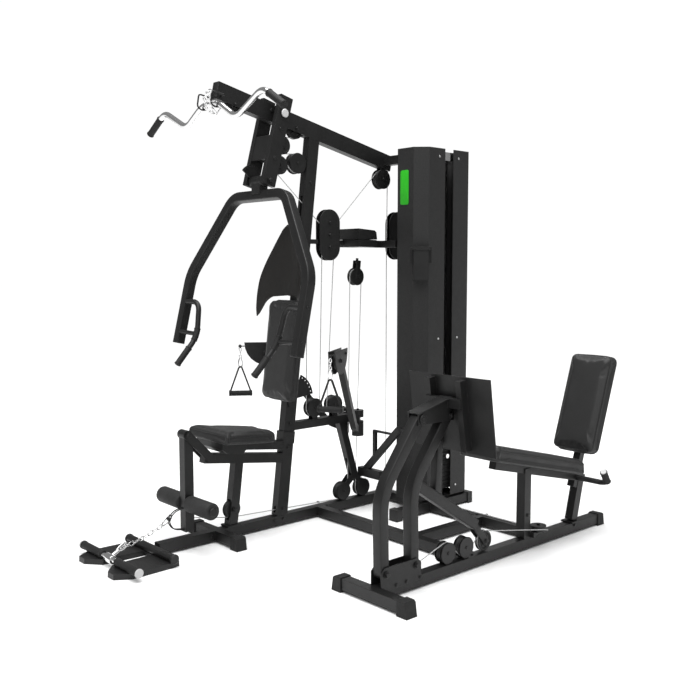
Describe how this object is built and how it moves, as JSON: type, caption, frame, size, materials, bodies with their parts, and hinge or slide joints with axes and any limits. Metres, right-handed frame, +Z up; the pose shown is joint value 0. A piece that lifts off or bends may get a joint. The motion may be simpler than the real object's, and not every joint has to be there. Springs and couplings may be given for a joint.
{
  "type": "multi station home gym",
  "caption": "Multi station home gym: press arms, lat bar, low row bar, leg extension, swivel cable arms and a leg press, all pulled from a shrouded weight stack.",
  "frame": {"origin": "on the floor, under the middle of the bounding box", "axes": "+Z up, +Y from the low row foot plates to the weight tower, +X to the leg press side"},
  "size_m": [1.9815, 2.4123, 2.3159],
  "materials": {
    "powder_coat": "textured powder coat",
    "shroud_paint": "fine texture",
    "vinyl": "grained vinyl",
    "foam": "matt foam",
    "rubber": "matt",
    "plastic": "satin",
    "shield": "satin",
    "chrome": "polished",
    "cast_iron": "matt",
    "wire": "coated wire"
  },
  "bodies": {
    "frame": {"main_beam": "powder_coat", "stabilizer_foot_left": "rubber", "stabilizer_foot_right": "rubber", "cross_beam": "powder_coat", "rear_base": "powder_coat", "row_footrest": "powder_coat", "seat_beam": "powder_coat", "main_upright": "powder_coat", "top_boom": "powder_coat", "mid_arm": "powder_coat", "rear_strut": "powder_coat", "shroud_front": "shroud_paint", "shroud_rear": "shroud_paint", "bottle_holder": "plastic", "tower_core": "chrome", "resting_plates": "cast_iron", "neck_shield": "shield", "press_rail": "powder_coat", "press_foot_left": "rubber", "press_foot_right": "rubber", "press_foot_rear": "rubber", "press_seat_pad": "vinyl", "press_back_pad": "vinyl", "press_seat_frame": "powder_coat", "cable_lat": "wire", "cable_arms": "wire", "cable_low": "wire"},
    "lifted_stack": {"lifted_plates": "cast_iron"},
    "selector_pin": {"selector_pin": "chrome"},
    "press_yoke": {"press_yoke": "powder_coat"},
    "press_arms": {"press_arms": "powder_coat"},
    "leg_arm": {"leg_arm": "powder_coat"},
    "foam_left": {"foam_roller_left": "foam"},
    "foam_right": {"foam_roller_right": "foam"},
    "row_bar": {"row_bar": "chrome"},
    "lat_bar": {"lat_bar": "chrome"},
    "seat": {"seat_carriage": "powder_coat", "seat_pad": "vinyl"},
    "backrest": {"back_bracket": "powder_coat", "back_pad": "vinyl"},
    "swivel_left": {"swivel_arm_left": "powder_coat"},
    "swivel_right": {"swivel_arm_right": "powder_coat"},
    "handle_left": {"d_handle_left": "plastic"},
    "handle_right": {"d_handle_right": "plastic"},
    "front_press_leg": {"front_press_leg": "powder_coat"},
    "rear_press_leg": {"rear_press_leg": "powder_coat"},
    "foot_carriage": {"foot_carriage": "powder_coat"},
    "double_block": {"double_block": "plastic"},
    "single_block": {"single_block": "plastic"},
    "boom_front_pulley": {"boom_front_pulley": "plastic"},
    "boom_mid_pulley": {"boom_mid_pulley": "plastic"},
    "upright_pulley": {"upright_pulley": "plastic"},
    "boom_rear_pulley": {"boom_rear_pulley": "plastic"},
    "arm_pulley_front": {"arm_pulley_front": "plastic"},
    "arm_pulley_rear": {"arm_pulley_rear": "plastic"},
    "base_pulley_front": {"base_pulley_front": "plastic"},
    "base_pulley_rear": {"base_pulley_rear": "plastic"},
    "press_pulley_front": {"press_pulley_front": "plastic"},
    "press_pulley_rear": {"press_pulley_rear": "plastic"},
    "lever_pulley": {"lever_pulley": "plastic"}
  },
  "joints": [
    {"name": "press_swing", "type": "hinge", "parent": "frame", "child": "press_yoke", "pos_m": [-0.3935, -0.152, 2.192], "axis": [-1, 0, 0], "range_deg": [0, 45], "deforming": ["cable_lat"]},
    {"name": "press_adjust", "type": "hinge", "parent": "press_yoke", "child": "press_arms", "pos_m": [-0.3935, -0.244, 1.846], "axis": [-1, 0, 0], "range_deg": [-8, 20]},
    {"name": "leg_extension", "type": "hinge", "parent": "frame", "child": "leg_arm", "pos_m": [-0.3935, -0.719, 0.578], "axis": [-1, 0, 0], "range_deg": [0, 90]},
    {"name": "foam_left_spin", "type": "hinge", "parent": "leg_arm", "child": "foam_left", "pos_m": [-0.5235, -0.713, 0.232], "axis": [1, 0, 0], "continuous": true},
    {"name": "foam_right_spin", "type": "hinge", "parent": "leg_arm", "child": "foam_right", "pos_m": [-0.2635, -0.713, 0.232], "axis": [1, 0, 0], "continuous": true},
    {"name": "row_bar_swing", "type": "hinge", "parent": "leg_arm", "child": "row_bar", "pos_m": [-0.3935, -0.816, 0.168], "axis": [-1, 0, 0], "range_deg": [0, 60]},
    {"name": "lat_bar_lift", "type": "slide", "parent": "frame", "child": "lat_bar", "axis": [0, 0, 1], "range_m": [0, 0.025]},
    {"name": "seat_height", "type": "slide", "parent": "frame", "child": "seat", "axis": [0, 0.1167, 0.9932], "range_m": [0, 0.1]},
    {"name": "backrest_tilt", "type": "hinge", "parent": "frame", "child": "backrest", "pos_m": [-0.3935, -0.05892, 0.69], "axis": [1, 0, 0], "range_deg": [0, 20]},
    {"name": "swivel_left_turn", "type": "hinge", "parent": "frame", "child": "swivel_left", "pos_m": [-0.4555, 0.391, 0.537], "axis": [0, 0, 1], "range_deg": [-55, 15]},
    {"name": "handle_left_swing", "type": "hinge", "parent": "swivel_left", "child": "handle_left", "pos_m": [-0.78848, -0.10376, 0.955], "axis": [-0.8296, 0.5583, 0], "range_deg": [-20, 20]},
    {"name": "swivel_right_turn", "type": "hinge", "parent": "frame", "child": "swivel_right", "pos_m": [-0.3315, 0.391, 0.537], "axis": [0, 0, 1], "range_deg": [-15, 55]},
    {"name": "handle_right_swing", "type": "hinge", "parent": "swivel_right", "child": "handle_right", "pos_m": [0.00148, -0.10376, 0.955], "axis": [0.8296, 0.5583, 0], "range_deg": [-20, 20]},
    {"name": "stack_lift", "type": "slide", "parent": "frame", "child": "lifted_stack", "axis": [0, 0, 1], "range_m": [0, 1.1]},
    {"name": "pin_pull", "type": "slide", "parent": "lifted_stack", "child": "selector_pin", "axis": [1, 0, 0], "range_m": [0, 0.15]},
    {"name": "press_leg_swing", "type": "hinge", "parent": "frame", "child": "front_press_leg", "pos_m": [0.7515, -0.469, 0.115], "axis": [1, 0, 0], "range_deg": [0, 30]},
    {"name": "foot_carriage_level", "type": "hinge", "parent": "front_press_leg", "child": "foot_carriage", "pos_m": [0.7515, -0.254, 0.75], "axis": [1, 0, 0], "range_deg": [-30, 0]},
    {"name": "press_lever_swing", "type": "hinge", "parent": "frame", "child": "rear_press_leg", "pos_m": [0.7515, -0.287, 0.115], "axis": [1, 0, 0], "range_deg": [0, 30], "deforming": ["cable_low"]},
    {"name": "double_block_travel", "type": "slide", "parent": "frame", "child": "double_block", "axis": [0, 0, 1], "range_m": [-0.3, 0.3], "deforming": ["cable_arms"]},
    {"name": "single_block_travel", "type": "slide", "parent": "frame", "child": "single_block", "axis": [0, 0, 1], "range_m": [-0.3, 0.06]},
    {"name": "boom_front_pulley_spin", "type": "hinge", "parent": "frame", "child": "boom_front_pulley", "pos_m": [-0.3935, -0.405, 2.214], "axis": [1, 0, 0], "continuous": true},
    {"name": "boom_mid_pulley_spin", "type": "hinge", "parent": "frame", "child": "boom_mid_pulley", "pos_m": [-0.3935, -0.015, 2.138], "axis": [1, 0, 0], "continuous": true},
    {"name": "upright_pulley_spin", "type": "hinge", "parent": "frame", "child": "upright_pulley", "pos_m": [-0.3935, -0.005, 1.957], "axis": [1, 0, 0], "continuous": true},
    {"name": "boom_rear_pulley_spin", "type": "hinge", "parent": "frame", "child": "boom_rear_pulley", "pos_m": [-0.3935, 0.631, 1.916], "axis": [1, 0, 0], "continuous": true},
    {"name": "arm_pulley_front_spin", "type": "hinge", "parent": "frame", "child": "arm_pulley_front", "pos_m": [-0.3935, 0.108, 0.626], "axis": [1, 0, 0], "continuous": true},
    {"name": "arm_pulley_rear_spin", "type": "hinge", "parent": "frame", "child": "arm_pulley_rear", "pos_m": [-0.3935, 0.257, 0.628], "axis": [1, 0, 0], "continuous": true},
    {"name": "base_pulley_front_spin", "type": "hinge", "parent": "frame", "child": "base_pulley_front", "pos_m": [-0.3935, 0.321, 0.115], "axis": [1, 0, 0], "continuous": true},
    {"name": "base_pulley_rear_spin", "type": "hinge", "parent": "frame", "child": "base_pulley_rear", "pos_m": [-0.3935, 0.474, 0.115], "axis": [1, 0, 0], "continuous": true},
    {"name": "press_pulley_front_spin", "type": "hinge", "parent": "frame", "child": "press_pulley_front", "pos_m": [0.7515, -0.065, 0.115], "axis": [1, 0, 0], "continuous": true},
    {"name": "press_pulley_rear_spin", "type": "hinge", "parent": "frame", "child": "press_pulley_rear", "pos_m": [0.7515, 0.06, 0.115], "axis": [1, 0, 0], "continuous": true},
    {"name": "lever_pulley_spin", "type": "hinge", "parent": "rear_press_leg", "child": "lever_pulley", "pos_m": [0.7515, 0.204, 0.115], "axis": [1, 0, 0], "continuous": true}
  ],
  "couplings": [
    {"joint": "foot_carriage_level", "follows": "press_leg_swing", "ratio": -1},
    {"joint": "press_lever_swing", "follows": "press_leg_swing", "ratio": 1}
  ]
}
